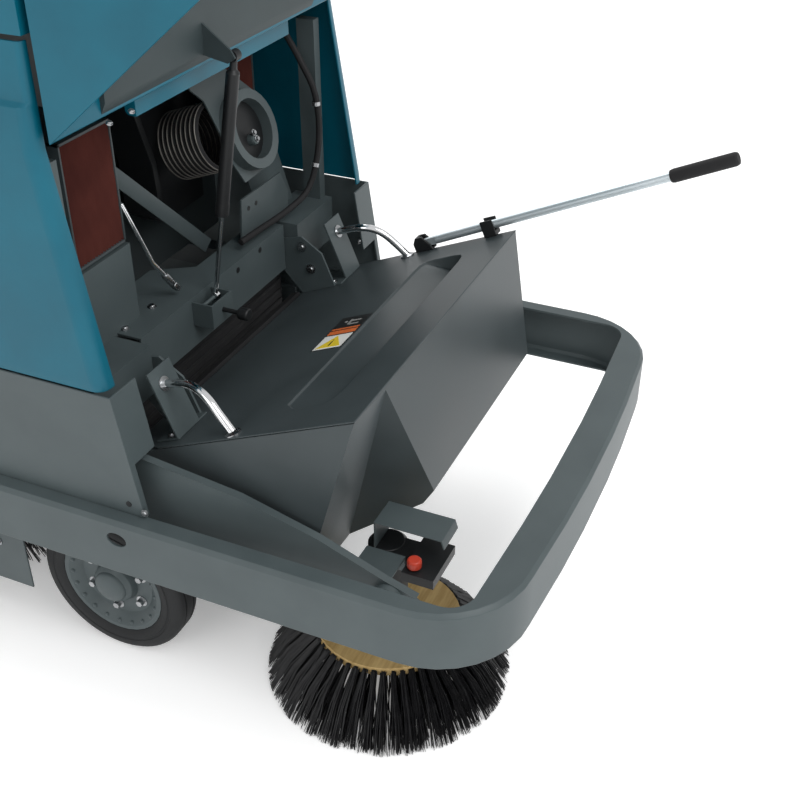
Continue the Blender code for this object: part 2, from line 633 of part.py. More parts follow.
def build_hood():
    """Moulded hood shell with its inner tray; drawn closed, turned open by its empty."""
    hood = group("hood_hinge", (0, *HOOD_HINGE), -HOOD_OPEN)
    y, z = HOOD_HINGE
    wall = 0.0045
    corner, nose, chin = hood_outline(0.0)
    brow = fall(HOOD_LENGTH - 0.045)
    brow_low = (nose[0] - 0.004, nose[1] - 0.030)
    shell = add("hood_shell", prism("X", [(y, z), corner, chin, brow_low, brow], -HOOD_HALF, HOOD_HALF),
                "teal_plastic", hood)
    top_in = fall(-0.050, wall)
    brow_in = fall(HOOD_LENGTH - 0.047, wall)
    low_in = (brow_low[0] + wall, brow_low[1])
    chin_in = (chin[0] + wall, chin[1] - 0.002)
    inner = [(y + 0.060, top_in[1]), (y + 0.060, z - 0.450), (chin_in[0], z - 0.450), chin_in, low_in,
             brow_in, top_in]
    cut(shell, prism("X", inner, -HOOD_HALF + wall, HOOD_HALF - wall))
    tray = [fall(0.002, wall + GAP), fall(0.002, 0.026), fall(0.250, 0.040), fall(0.290, wall + GAP)]
    liner = add("hood_liner", prism("X", tray, -0.3400, 0.3400), "liner_plastic", hood)
    hollow = [fall(0.006, wall - 0.01), fall(0.006, 0.022), fall(0.248, 0.036), fall(0.284, wall - 0.01)]
    cut(liner, prism("X", hollow, -0.3360, 0.3360))
    stud = [fall(0.004, 0.020), fall(0.060, 0.020), (STUD[0] - 0.009, STUD[1] - 0.010),
            (STUD[0] + 0.006, STUD[1] - 0.010), (STUD[0] + 0.007, STUD[1] + 0.008)]
    ear = STRUT_X - 0.0125
    join(liner, prism("X", stud, ear - 0.004, ear),
         disc("X", STUD, 0.0050, ear - 0.002, STRUT_X - 0.0085, 12))
    return hood


# ------------------------------------------------------------------ gas strut
def build_strut():
    """Chrome rod in the pocket and black cylinder on the hood's ball stud."""
    foot, head = Vector(STRUT_FOOT), Vector(STRUT_HEAD)
    run = head - foot
    lean = math.atan2(-run.x, run.y)
    length = run.length
    y, z = STRUT_FOOT
    spot = (STRUT_X, y)
    strut = group("strut_foot", (STRUT_X, y, z), lean)
    eye = disc("X", (y, z), 0.0085, STRUT_X - 0.005, STRUT_X + 0.005, 16)
    rod_piece = add("strut_rod", eye, "chrome", strut)
    join(rod_piece, disc("Z", spot, 0.0042, z + 0.004, z + length * 0.70, 12))
    start = z + length * 0.37
    tube = [(0.0046, start), (0.0125, start), (0.0130, start + 0.004), (0.0130, start + 0.022),
            (0.0120, start + 0.026), (0.0120, z + length - 0.030), (0.0070, z + length - 0.024),
            (0.0060, z + length - 0.008),
            (0.0046, z + length - 0.008)]
    cylinder = lathe("Z", spot, tube, 16)
    body = add("strut_tube", cylinder, "black_plastic", strut)
    top = z + length
    cap = lathe("Z", spot, [(0, top - 0.034), (0.0060, top - 0.034), (0.0060, top - 0.006),
                            (0, top - 0.006)], 16)
    join(body, cap, disc("X", (y, top), 0.0100, STRUT_X - 0.008, STRUT_X + 0.008, 16))


# ------------------------------------------------------------------ body round the compartment
def build_skirts():
    """Grey lower side panels with a front return, standing on the rail."""
    for side, sign in (("right", -1), ("left", 1)):
        outer, inner, back = sign * SKIRT_HALF, sign * (SKIRT_HALF - SHEET), sign * 0.412
        front = -0.254
        outline = [(outer, front), (back, front), (back, front + SHEET), (inner, front + SHEET),
                   (inner, 0.900), (outer, 0.900)]
        bm = prism("Z", outline, 0.515, SKIRT_TOP)
        skirt = add(f"skirt_{side}", shear_front(bm, SKIRT_TOP), "grey_paint")
        lap = inner - sign * 0.010
        foot = prism("Z", [(outer, front), (lap, front), (lap, front + SHEET), (inner, front + SHEET),
                           (inner, 0.900), (outer, 0.900)], RAIL_TOP + GAP, 0.516)
        join(skirt, shear_front(foot, SKIRT_TOP))


def front_line(z, back=0.0):
    """How far forward the body's leaning front edge reaches at a height."""
    return HOOD_HINGE[0] - (HOOD_HINGE[1] - z) * math.tan(LEAN) + back


def build_side_panels():
    """Teal side panels with a rounded front return and a shoulder crease."""
    low, shoulder, top = SKIRT_TOP + 0.003, 1.105, 1.196
    for side, sign in (("right", -1), ("left", 1)):
        outer = BODY_HALF + 0.006
        wall = SHEET
        bm = bmesh.new()
        rings = []
        for z, out in ((low, outer), (low + 0.020, outer + 0.002), (1.040, outer - 0.004),
                       (shoulder, outer - 0.007), (shoulder + 0.006, outer - 0.015), (top, outer - 0.018)):
            front = front_line(min(z, 1.046), 0.020)
            reach = out - 0.449
            bend = min(reach * 0.8, 0.022)
            line = [(out, 0.300), (out, front + bend)]
            line += arc((out - bend, front + bend), bend, 0, -90, 4)[1:]
            line.append((0.449, front))
            outline = strip([(a, b) for a, b in line], -wall)
            rings.append([bm.verts.new((sign * a, b, z)) for a, b in outline])
        for a, b in zip(rings, rings[1:]):
            count = len(a)
            for i in range(count):
                j = (i + 1) % count
                bm.faces.new((a[i], a[j], b[j], b[i]))
        bm.faces.new(rings[0])
        bm.faces.new(rings[-1])
        bmesh.ops.recalc_face_normals(bm, faces=bm.faces)
        add(f"side_panel_{side}", bm, "teal_plastic")


def build_cowl():
    """Upper console: front wall over the hood hinge, dash and the lip above the compartment."""
    front = -0.190
    outline = [(front, 1.205), (front, 1.270), (front + 0.020, COWL_TOP), (0.060, COWL_TOP), (0.160, 1.225),
               (0.160, 1.205)]
    cowl = add("cowl", prism("X", outline, -0.466, 0.466), "teal_plastic")
    join(cowl, prism("X", strip([(front, 1.0460), (front, 1.2060)], -SHEET), -0.4340, 0.4340))
    lip = [(-0.182, 1.014), (-0.166, 1.014), (-0.160, 1.020), (-0.160, 1.0457), (-0.182, 1.0457)]
    add("cowl_lip", prism("X", lip, -0.2250, 0.2850), "teal_plastic")


def build_compartment():
    """What the open hood shows: beam, filters, fan, duct, hose, shaker and braces."""
    y = -0.157
    top, low = 0.617, 0.515
    shelf = [(-0.262, y), (0.262, y), (0.262, -0.094), (0.020, -0.094), (-0.030, -0.020), (-0.262, -0.020)]
    beam = add("cross_beam", prism("Z", shelf, top - SHEET, top), "grey_paint")
    support = [(0.140, 0.615), (0.200, 0.615), (0.335, 0.615), (0.340, 0.660), (0.310, 0.712), (0.150, 0.712)]
    pieces = [box((-0.262, y, low), (0.262, y + SHEET, top - 0.001)), prism("Y", support, -0.1290, -0.1250),
              box((-0.437, -0.0975, 0.505), (0.437, -0.0935, top - 0.001))]
    # pocket for the foot of the strut, open at the top
    pocket = [(-0.098, y - GAP), (-0.098, y - 0.045), (-0.026, y - 0.045), (-0.026, y - GAP),
              (-0.030, y - GAP), (-0.030, y - 0.041), (-0.094, y - 0.041), (-0.094, y - GAP)]
    holder = add("strut_pocket", prism("Z", pocket, 0.560, 0.609), "grey_paint")
    join(holder, disc("X", STRUT_FOOT, 0.0040, -0.096, STRUT_X - 0.0058, 12))
    cut(holder, disc("Y", (-0.060, 0.585), 0.0052, -0.215, -0.190, 12))
    pin = group("plunger_axis", (-0.060, -0.202, 0.585))
    knob = [(0, -0.197), (0.0045, -0.197), (0.0045, -0.236), (0.0110, -0.237), (0.0125, -0.240),
            (0.0125, -0.256), (0.0105, -0.259), (0, -0.259)]
    add("plunger_knob", lathe("Y", (-0.060, 0.585), knob, 16), "black_plastic", pin)

    holes = []
    for sign in (-1, 1):
        x = sorted((sign * 0.2737, sign * 0.437))
        end = strip([(-0.094, 0.617), (-0.184, 0.617), (-0.184, 0.520)], SHEET)
        pieces.append(prism("X", end, *x))
        cheek = sorted((sign * 0.2737, sign * 0.2780))
        socket = prism("X", [(-0.184, 0.520), (-0.094, 0.505), (-0.094, 0.616), (-0.183, 0.616)], *cheek)
        pieces.append(socket)
        holes.append(disc("X", HOPPER_PIVOT, 0.0082, *sorted((sign * 0.265, sign * 0.300)), 16))
        pieces.append(box((sign * 0.4245 - 0.0115, -0.168, 0.610), (sign * 0.4245 + 0.0115, -0.128, 1.008)))
    # filter boxes on each side of the fan
    add("filter_right", box((-0.332, -0.104, 0.768), (-0.196, 0.040, 0.992)), "filter")
    add("filter_left", box((0.266, -0.030, 0.768), (0.396, 0.080, 0.992)), "filter")
    shelf = strip([(-0.107, 0.610), (-0.107, 0.764), (0.040, 0.764)], -0.003)
    pieces.append(prism("X", shelf, -0.336, -0.192))
    shelf = strip([(-0.107, 0.610), (-0.060, 0.764), (0.080, 0.764)], -0.003)
    pieces.append(prism("X", shelf, 0.262, 0.400))
    join(beam, *pieces)
    cut(beam, *holes)
    build_fan()
    build_duct()
    build_small_fittings()


def build_fan():
    """Fan scroll standing at the back; inlet plate and ring in front of it, leaning back."""
    scroll = [(0.005, 0.935), (0.030, 0.860), (0.050, 0.800), (0.055, 0.740), (0.050, 0.690), (0.100, 0.655),
              (0.255, 0.655), (0.258, 0.900), (0.200, 0.985), (0.050, 0.985)]
    edge = scroll[:5]
    fan = add("fan_housing", prism("Y", scroll, 0.030, 0.085), "black_plastic")
    join(fan, prism("Y", strip(edge, 0.014), 0.004, 0.032))

    centre = (FAN_CENTRE[0], FAN_CENTRE[2])
    mount = group("fan_mount", FAN_CENTRE, -FAN_LEAN)
    face = FAN_CENTRE[1]
    plate = [(0.100, 0.985), (0.108, 0.956), (0.134, 0.928), (0.145, 0.862), (0.148, 0.835), (0.145, 0.804),
             (0.164, 0.749), (0.233, 0.751), (0.305, 0.762), (0.325, 0.800), (0.300, 0.900), (0.240, 0.960),
             (0.180, 0.985)]
    inlet = add("fan_inlet", prism("Y", plate, face + 0.026, face + 0.030), "grey_paint", mount)
    ring = [(0.060, face), (0.080, face), (0.080, face + 0.028), (0.060, face + 0.028)]
    hub = [(0, face + 0.010), (0.010, face + 0.010), (0.012, face + 0.014), (0.012, face + 0.028),
           (0, face + 0.028)]
    join(inlet, lathe("Y", centre, ring, 28), lathe("Y", (0.229, 0.816), hub, 12))


def build_duct():
    """Short corrugated hose behind the inlet plate, leaning with it."""
    mount = group("duct_mount", FAN_CENTRE, -FAN_LEAN)
    start, pitch, turns = FAN_CENTRE[1] + 0.032, 0.0114, 9
    outer, root, bore = 0.0690, 0.0645, 0.0620
    profile = [(bore, start)]
    for i in range(turns):
        a = start + i * pitch
        profile += [(root, a), (outer, a + pitch * 0.30), (outer, a + pitch * 0.60)]
    profile += [(root, start + turns * pitch), (bore, start + turns * pitch)]
    add("flex_duct", lathe("Y", DUCT_CENTRE, profile, 24), "steel", mount)


HOSE_ROUTE = [(0.385, -0.110, 0.995), (0.385, -0.150, 0.930), (0.388, -0.180, 0.860),
              (0.386, -0.184, 0.760), (0.350, -0.176, 0.672), (0.280, -0.160, 0.644),
              (0.190, -0.150, 0.640), (0.110, -0.145, 0.640)]


def build_small_fittings():
    """Air hose along the post and the shaker rod of the near filter."""
    add("air_hose", rod(smooth_path(HOSE_ROUTE, 4), 0.0070, 8), "rubber")
    clevis = rod([(-0.190, -0.0975, 0.836), (-0.153, -0.120, 0.711), (-0.097, -0.128, 0.632)], 0.0045, 8)
    add("shaker_rod", clevis, "chrome")


# ------------------------------------------------------------------ side brush
def build_side_brush():
    """Swinging arm, motor, guard, knob and the disc brush with its bristles."""
    cx, cy = SIDE_BRUSH
    pivot_y, pivot_z = ARM_PIVOT
    arm_axis = group("side_arm_axis", (-0.420, pivot_y, pivot_z))
    outer, flange_width = -0.4380, 0.0150
    crest = [(-0.185, 0.512), (-0.260, 0.501), (-0.435, 0.461), (-0.575, 0.408), (-0.690, 0.350),
             (-0.745, 0.326)]
    toe = [(-0.757, 0.316), (-0.754, 0.300), (-0.700, 0.290), (-0.450, 0.318), (-0.260, 0.345),
           (-0.185, 0.360)]
    web = shear_inward(prism("X", crest + toe, outer, outer + SHEET))
    arm = add("side_brush_arm", web, "grey_paint", arm_axis)
    flange = shear_inward(prism("X", strip(crest, SHEET), outer + 0.0006, outer + flange_width))
    boss = shear_inward(disc("X", (-0.695, 0.318), 0.026, outer - 0.012, outer + 0.002, 24))
    plate = box((-0.396, -0.684, 0.3170), (-0.294, -0.610, 0.3210))
    hanger = box((-0.298, -0.684, 0.290), (-0.294, -0.610, 0.3190))
    join(arm, flange, boss, plate, hanger)

    motor = [(0, 0.140), (0.030, 0.140), (0.030, 0.170), (0.0365, 0.173), (0.0365, 0.300), (0.030, 0.306),
             (0, 0.306)]
    body = add("side_brush_motor", lathe("Z", (cx, cy), motor, 24), "black_plastic", arm_axis)
    join(body, box((-0.3320, -0.752, 0.3000), (-0.2300, -0.692, 0.3190)),
         box((-0.2850, -0.700, 0.290), (-0.2300, -0.640, 0.3050)))
    guard = strip([(-0.748, 0.346), (-0.743, 0.362), (-0.6195, 0.362), (-0.6195, 0.3065)], 0.003)
    add("side_brush_guard", prism("X", guard, -0.2800, -0.2140), "grey_paint", arm_axis)

    knob_axis = group("knob_axis", (-0.313, -0.709, 0.320), parent=arm_axis)
    knob = [(0, 0.3193), (0.0085, 0.3193), (0.0130, 0.3230), (0.0130, 0.3360), (0.0105, 0.3390), (0, 0.3390)]
    add("red_knob", lathe("Z", (-0.313, -0.709), knob, 16), "red_plastic", knob_axis)

    brush_axis = group("side_brush_axis", (cx, cy, 0.12), parent=arm_axis)
    disc_profile = [(0, 0.104), (SIDE_DISC_RADIUS, 0.104), (SIDE_DISC_RADIUS, 0.122), (0.050, 0.122),
                    (0.050, 0.1385), (0, 0.1385)]
    add("side_brush_disc", lathe("Z", (cx, cy), disc_profile, 36), "plywood", brush_axis)
    bristles = [(0.060, 0.1037), (SIDE_DISC_RADIUS - 0.004, 0.1037), (SIDE_DISC_RADIUS + 0.040, 0.060),
                (SIDE_BRUSH_RADIUS, 0.0), (0.175, 0.0), (0.110, 0.050)]
    add("side_brush_bristles", lathe("Z", (cx, cy), bristles, 36), "bristle", brush_axis)


def shear_inward(bm):
    """Lean a mesh towards the middle of the machine with its distance to the front."""
    for vert in bm.verts:
        vert.co.x += max(-0.245 - vert.co.y, 0) * 0.096
    return bm


# ------------------------------------------------------------------ driver's place
def build_drivers_place():
    """Floor, seat, steering, pedal, rear housing and its cover."""
    pan = strip([(0.114, 1.190), (0.114, 0.504), (0.560, 0.504)], SHEET)
    add("floor_pan", prism("X", pan, -0.430, 0.430), "dark_paint")
    housing = prism("Y", [(-0.470, 0.5040), (0.470, 0.5040), (0.470, 0.780), (0.440, 0.800),
                          (-0.440, 0.800), (-0.470, 0.780)], 0.5605, 0.905)
    add("battery_box", housing, "black_plastic")
    cover_axis = group("rear_cover_axis", (0, 0.985, 0.480))
    shell = prism("X", [(0.9060, 0.475), (1.005, 0.475), (1.005, 0.640), (0.985, 0.790), (0.960, 0.803),
                        (0.9060, 0.803)], -0.470, 0.470)
    cover = add("rear_cover", shell, "teal_plastic", cover_axis)
    cut(cover, prism("X", [(0.9000, 0.470), (1.001, 0.470), (1.001, 0.640), (0.981, 0.787), (0.958, 0.799),
                           (0.9000, 0.799)], -0.466, 0.466))

    seat_axis = group("seat_axis", (0, 0.700, 0.82))
    add("seat_slider", box((-0.200, 0.590, 0.8003), (0.200, 0.880, 0.820)), "steel", seat_axis)
    pad = bmesh_bevelled(box((-0.235, 0.520, 0.8203), (0.235, 0.860, 0.905)), 0.022)
    add("seat_cushion", pad, "seat_vinyl", seat_axis)
    rest = box((-0.225, 0.8610, 0.8300), (0.225, 0.930, 1.260))
    bmesh_bevelled(rest, 0.022)
    for vert in rest.verts:
        vert.co.y += max(vert.co.z - 0.900, 0) * 0.16
    add("seat_back", rest, "seat_vinyl", seat_axis)

    column = rod([(0, 0.200, 0.5135), (0, 0.250, 0.900), (0, 0.385, 1.162)], 0.026, 12)
    add("steering_column", column, "black_plastic")
    build_steering_wheel()
    pedal_axis = group("pedal_axis", (0.150, 0.300, 0.530))
    pedal = prism("X", [(0.296, 0.5250), (0.306, 0.5250), (0.250, 0.640), (0.170, 0.700), (0.166, 0.692),
                        (0.240, 0.634)], 0.110, 0.190)
    add("drive_pedal", pedal, "rubber", pedal_axis)


def bmesh_bevelled(bm, width):
    """Round a block's edges with a two-step bevel."""
    bmesh.ops.bevel(bm, geom=list(bm.edges), offset=width, segments=2, profile=0.5, affect="EDGES")
    return bm


def build_steering_wheel():
    """Rim, hub and three spokes, drawn flat and tipped towards the driver about the column."""
    tilt = math.radians(-15)
    centre = Vector((0, 0.400, 1.210))
    rim = bmesh.new()
    segments, sides, radius, thick = 28, 8, 0.170, 0.014
    rings = []
    for i in range(segments):
        turn = math.tau * i / segments
        ring = []
        for j in range(sides):
            swing = math.tau * j / sides
            reach = radius + thick * math.cos(swing)
            ring.append(rim.verts.new((reach * math.cos(turn), reach * math.sin(turn),
                                       thick * math.sin(swing))))
        rings.append(ring)
    for a, b in zip(rings, rings[1:] + rings[:1]):
        for i in range(sides):
            j = (i + 1) % sides
            rim.faces.new((a[i], a[j], b[j], b[i]))
    bmesh.ops.recalc_face_normals(rim, faces=rim.faces)
    hub = lathe("Z", (0, 0), [(0, -0.030), (0.030, -0.030), (0.045, 0.004), (0.030, 0.012), (0, 0.012)], 16)
    spokes = []
    for angle in (90, 210, 330):
        spoke = box((0.025, -0.012, -0.006), (0.168, 0.012, 0.004))
        turn = Matrix.Rotation(math.radians(angle), 3, "Z")
        bmesh.ops.rotate(spoke, cent=(0, 0, 0), matrix=turn, verts=spoke.verts)
        spokes.append(spoke)
    place = Matrix.Translation(centre) @ Matrix.Rotation(tilt, 4, "X")
    for shape in (rim, hub, *spokes):
        bmesh.ops.transform(shape, matrix=place, verts=shape.verts)
    axis = group("steering_axis", tuple(centre))
    wheel = add("steering_wheel", rim, "black_plastic", axis)
    join(wheel, hub, *spokes)


# ------------------------------------------------------------------ build
def main():
    """Clear the scene and build every piece."""
    for obj in list(bpy.data.objects):
        bpy.data.objects.remove(obj, do_unlink=True)
    for name, values in COLOURS.items():
        MATERIALS[name] = make_material(name, *values)
    build_rail()
    build_chassis()
    build_front_wheels()
    build_rear_wheel()
    build_main_brush()
    hopper = build_hopper()
    build_lid(hopper)
    build_hopper_fittings(hopper)
    build_lever(hopper)
    build_hood()
    build_strut()
    build_skirts()
    build_side_panels()
    build_cowl()
    build_compartment()
    build_side_brush()
    build_drivers_place()


main()
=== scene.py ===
"""Looks of the ride-on sweeper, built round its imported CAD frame."""
import json
import math
import random

import bmesh
import bpy
from mathutils import Matrix, Vector

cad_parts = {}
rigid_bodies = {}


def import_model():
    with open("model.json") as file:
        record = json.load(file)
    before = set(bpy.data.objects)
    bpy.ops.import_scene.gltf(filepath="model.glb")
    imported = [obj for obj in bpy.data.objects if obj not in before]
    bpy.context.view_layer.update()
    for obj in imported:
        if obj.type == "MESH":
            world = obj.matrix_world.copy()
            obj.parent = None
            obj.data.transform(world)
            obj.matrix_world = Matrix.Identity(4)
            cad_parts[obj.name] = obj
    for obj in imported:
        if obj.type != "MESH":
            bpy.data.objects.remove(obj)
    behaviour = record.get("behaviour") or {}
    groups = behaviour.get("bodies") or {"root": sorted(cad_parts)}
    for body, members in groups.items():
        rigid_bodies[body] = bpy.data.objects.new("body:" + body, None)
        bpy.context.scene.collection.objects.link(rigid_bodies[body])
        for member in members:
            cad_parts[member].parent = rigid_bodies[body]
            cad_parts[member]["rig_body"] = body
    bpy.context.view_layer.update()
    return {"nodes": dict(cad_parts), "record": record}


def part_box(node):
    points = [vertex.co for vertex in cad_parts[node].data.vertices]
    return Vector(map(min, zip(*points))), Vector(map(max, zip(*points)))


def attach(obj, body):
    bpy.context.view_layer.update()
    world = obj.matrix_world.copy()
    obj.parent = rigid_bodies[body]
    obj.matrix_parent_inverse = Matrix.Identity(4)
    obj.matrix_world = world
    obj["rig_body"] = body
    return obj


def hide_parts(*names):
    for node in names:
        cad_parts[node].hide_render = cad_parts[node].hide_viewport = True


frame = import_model()
NODES = frame["nodes"]
SLOT_OF = {row["node"]: row["material_slot"] for row in frame["record"]["subparts"]}
random.seed(11)

HOPPER_PIVOT, HOPPER_TURN = Vector((0, -0.130, 0.560)), math.radians(-22.8)
HOOD_HINGE, HOOD_TURN = Vector((0, -0.203, 1.052)), math.radians(-121.6)
FAN_CENTRE, FAN_LEAN = Vector((0.222, -0.128, 0.838)), math.radians(-20)
SIDE_BRUSH = Vector((-0.248, -0.630, 0))
DUCT_X, DUCT_Z, DUCT_PITCH, DUCT_TURNS = 0.147, 0.855, 0.0114, 9      # before the fan's lean
WHEEL_RADIUS, TRACK_HALF = 0.155, 0.391
FRONT_AXLE_Y, REAR_AXLE_Y = -0.132, 0.760
MAIN_BRUSH = Vector((0, 0.235, 0.160))
LID_TOP = 0.4430                                                      # before the hopper's tilt
WHEEL_CENTRE, RIM_CIRCLE = Vector((0, 0.400, 1.210)), 0.170           # steering wheel
GRAIN_SCALE = 14.0
CAMERA_AT, CAMERA_LENS = (-1.695, -1.293, 1.65), 51.93
CAMERA_FORWARD, CAMERA_UP = Vector((0.7644, 0.3379, -0.5490)), Vector((0.5021, 0.2220, 0.8358))


# ------------------------------------------------------------------ materials
def node_link(tree, source, target):
    """Join two sockets."""
    tree.links.new(source, target)


def texture(tree, kind, scale, **inputs):
    """A texture node on object coordinates."""
    coords = tree.nodes.get("Coords") or tree.nodes.new("ShaderNodeTexCoord")
    coords.name = "Coords"
    made = tree.nodes.new(kind)
    made.inputs["Scale"].default_value = scale
    for name, value in inputs.items():
        made.inputs[name].default_value = value
    node_link(tree, coords.outputs["Object"], made.inputs["Vector"])
    return made


def finish(name, dark, light, rough, metallic=0.0, grain=700.0, bump=0.05, patches=7.0, swing=0.06):
    """Painted, moulded or metal finish: soft colour patches, uneven gloss and a fine grain."""
    mat = bpy.data.materials.new(name)
    mat.use_nodes = True
    tree = mat.node_tree
    shader = tree.nodes["Principled BSDF"]
    shader.inputs["Metallic"].default_value = metallic
    shader.inputs["Specular IOR Level"].default_value = 0.35
    broad = texture(tree, "ShaderNodeTexNoise", patches, Detail=5.0, Roughness=0.55)
    ramp = tree.nodes.new("ShaderNodeValToRGB")
    ramp.color_ramp.elements[0].position = 0.32
    ramp.color_ramp.elements[1].position = 0.68
    ramp.color_ramp.elements[0].color = (*dark, 1)
    ramp.color_ramp.elements[1].color = (*light, 1)
    node_link(tree, broad.outputs["Fac"], ramp.inputs["Fac"])
    node_link(tree, ramp.outputs["Color"], shader.inputs["Base Color"])
    span = tree.nodes.new("ShaderNodeMapRange")
    span.inputs["To Min"].default_value = max(rough - swing, 0.03)
    span.inputs["To Max"].default_value = rough + swing
    node_link(tree, broad.outputs["Fac"], span.inputs["Value"])
    node_link(tree, span.outputs["Result"], shader.inputs["Roughness"])
    fine = texture(tree, "ShaderNodeTexNoise", grain, Detail=2.0)
    relief = tree.nodes.new("ShaderNodeBump")
    relief.inputs["Strength"].default_value = bump
    relief.inputs["Distance"].default_value = 0.001
    node_link(tree, fine.outputs["Fac"], relief.inputs["Height"])
    node_link(tree, relief.outputs["Normal"], shader.inputs["Normal"])
    return mat


def wood_finish(name):
    """Pale birch board with stretched grain."""
    mat = finish(name, (0.36, 0.235, 0.085), (0.52, 0.37, 0.16), 0.62, patches=GRAIN_SCALE, bump=0.15,
                 grain=260.0)
    broad = next(n for n in mat.node_tree.nodes
                 if n.type == "TEX_NOISE" and n.inputs["Scale"].default_value == GRAIN_SCALE)
    stretch = mat.node_tree.nodes.new("ShaderNodeMapping")
    stretch.inputs["Scale"].default_value = (1.0, 9.0, 9.0)
    node_link(mat.node_tree, mat.node_tree.nodes["Coords"].outputs["Object"], stretch.inputs["Vector"])
    node_link(mat.node_tree, stretch.outputs["Vector"], broad.inputs["Vector"])
    return mat


FINISHES = {
    "teal_plastic": finish("teal_plastic", (0.000, 0.090, 0.138), (0.000, 0.112, 0.168), 0.40, bump=0.04),
    "grey_paint": finish("grey_paint", (0.058, 0.075, 0.079), (0.072, 0.092, 0.096), 0.44, bump=0.06),
    "dark_paint": finish("dark_paint", (0.040, 0.051, 0.054), (0.050, 0.063, 0.067), 0.40, bump=0.06),
    "liner_plastic": finish("liner_plastic", (0.028, 0.040, 0.043), (0.038, 0.053, 0.056), 0.55, bump=0.08),
    "black_plastic": finish("black_plastic", (0.007, 0.008, 0.009), (0.013, 0.014, 0.015), 0.45, bump=0.1),
    "rubber": finish("rubber", (0.007, 0.007, 0.008), (0.014, 0.014, 0.015), 0.72, bump=0.25, grain=420.0),
    "tyre": finish("tyre", (0.008, 0.009, 0.010), (0.018, 0.019, 0.020), 0.70, bump=0.3, grain=320.0),
    "bristle": finish("bristle", (0.003, 0.003, 0.004), (0.012, 0.012, 0.013), 0.45, bump=0.05, patches=60.0),
    "plywood": wood_finish("plywood"),
    "filter": finish("filter", (0.060, 0.012, 0.009), (0.105, 0.026, 0.019), 0.92, bump=0.4, grain=900.0),
    "chrome": finish("chrome", (0.72, 0.73, 0.74), (0.80, 0.81, 0.82), 0.10, 1.0, bump=0.01, swing=0.04),
    "aluminium": finish("aluminium", (0.56, 0.63, 0.66), (0.65, 0.71, 0.74), 0.45, 0.8, bump=0.05),
    "steel": finish("steel", (0.30, 0.31, 0.32), (0.46, 0.47, 0.48), 0.28, 1.0, bump=0.04, patches=30.0),
    "red_plastic": finish("red_plastic", (0.42, 0.035, 0.018), (0.56, 0.060, 0.030), 0.36, bump=0.05),
    "seat_vinyl": finish("seat_vinyl", (0.014, 0.015, 0.016), (0.028, 0.029, 0.031), 0.5, bump=0.5,
                         grain=260.0),
    "label_black": finish("label_black", (0.012, 0.012, 0.012), (0.020, 0.020, 0.020), 0.4),
    "label_white": finish("label_white", (0.78, 0.78, 0.74), (0.86, 0.86, 0.82), 0.4),
    "wire": finish("wire", (0.13, 0.12, 0.11), (0.24, 0.23, 0.21), 0.45, 0.7, bump=0.05, patches=30.0),
    "label_grey": finish("label_grey", (0.26, 0.26, 0.25), (0.32, 0.32, 0.31), 0.5),
    "label_yellow": finish("label_yellow", (0.78, 0.56, 0.02), (0.86, 0.64, 0.04), 0.4),
    "label_orange": finish("label_orange", (0.66, 0.14, 0.03), (0.74, 0.18, 0.05), 0.4),
}


# ------------------------------------------------------------------ mesh helpers
def body_of(node):
    """The body that a CAD node rides on."""
    return NODES[node]["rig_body"]


def piece(name, bm, body, look, smooth=48):
    """Turn a bmesh into a shown piece on a body."""
    mesh = bpy.data.meshes.new(name)
    bmesh.ops.recalc_face_normals(bm, faces=bm.faces)
    bm.to_mesh(mesh)
    bm.free()
    mesh.materials.append(FINISHES[look])
    mesh.shade_smooth()
    mesh.set_sharp_from_angle(angle=math.radians(smooth))
    obj = bpy.data.objects.new(name, mesh)
    bpy.context.scene.collection.objects.link(obj)
    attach(obj, body)
    return obj


def rounded(node, width=0.0012, look=None):
    """A CAD node with its flat faces merged and its sharp edges rounded, standing for it."""
    bm = bmesh.new()
    bm.from_mesh(NODES[node].data)
    bmesh.ops.remove_doubles(bm, verts=bm.verts, dist=0.0002)
    bmesh.ops.dissolve_limit(bm, angle_limit=math.radians(0.8), verts=bm.verts, edges=bm.edges)
    sharp = [e for e in bm.edges if len(e.link_faces) == 2 and e.calc_face_angle(0) > math.radians(27)
             and e.calc_length() > width]
    bmesh.ops.bevel(bm, geom=sharp, offset=width, segments=2, profile=0.5, affect="EDGES", clamp_overlap=True)
    obj = piece(node + "_skin", bm, body_of(node), look or SLOT_OF[node], smooth=32)
    crisp = obj.modifiers.new("crisp", "WEIGHTED_NORMAL")
    crisp.keep_sharp = True
    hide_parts(node)
    return obj


def box(bm, low, high, place=Matrix(), bevel=0.0):
    """Add a block between two corners."""
    size, centre = Vector(high) - Vector(low), (Vector(high) + Vector(low)) / 2
    made = bmesh.ops.create_cube(bm, size=1.0, matrix=place @ Matrix.LocRotScale(centre, None, size))
    if bevel:
        edges = list({e for v in made["verts"] for e in v.link_edges})
        bmesh.ops.bevel(bm, geom=edges, offset=bevel, segments=2, profile=0.5, affect="EDGES")


def facing(point, normal):
    """A placement whose +Z looks along a normal."""
    return Matrix.Translation(point) @ Vector(normal).to_track_quat("Z", "Y").to_matrix().to_4x4()


def turned(bm, profile, steps, place=Matrix()):
    """Add an open (radius, height) profile turned about the placement's +Z."""
    rings = []
    for radius, height in profile:
        count = 1 if radius < 1e-9 else steps
        rings.append([bm.verts.new(place @ Vector((radius * math.cos(math.tau * i / count),
                                                    radius * math.sin(math.tau * i / count), height)))
                      for i in range(count)])
    for a, b in zip(rings, rings[1:]):
        for i in range(steps):
            j = (i + 1) % steps
            corners = ([a[i % len(a)]] if len(a) == 1 else [a[i], a[j]])
            corners += ([b[0]] if len(b) == 1 else [b[j], b[i]])
            if len(corners) > 2:
                bm.faces.new(corners)


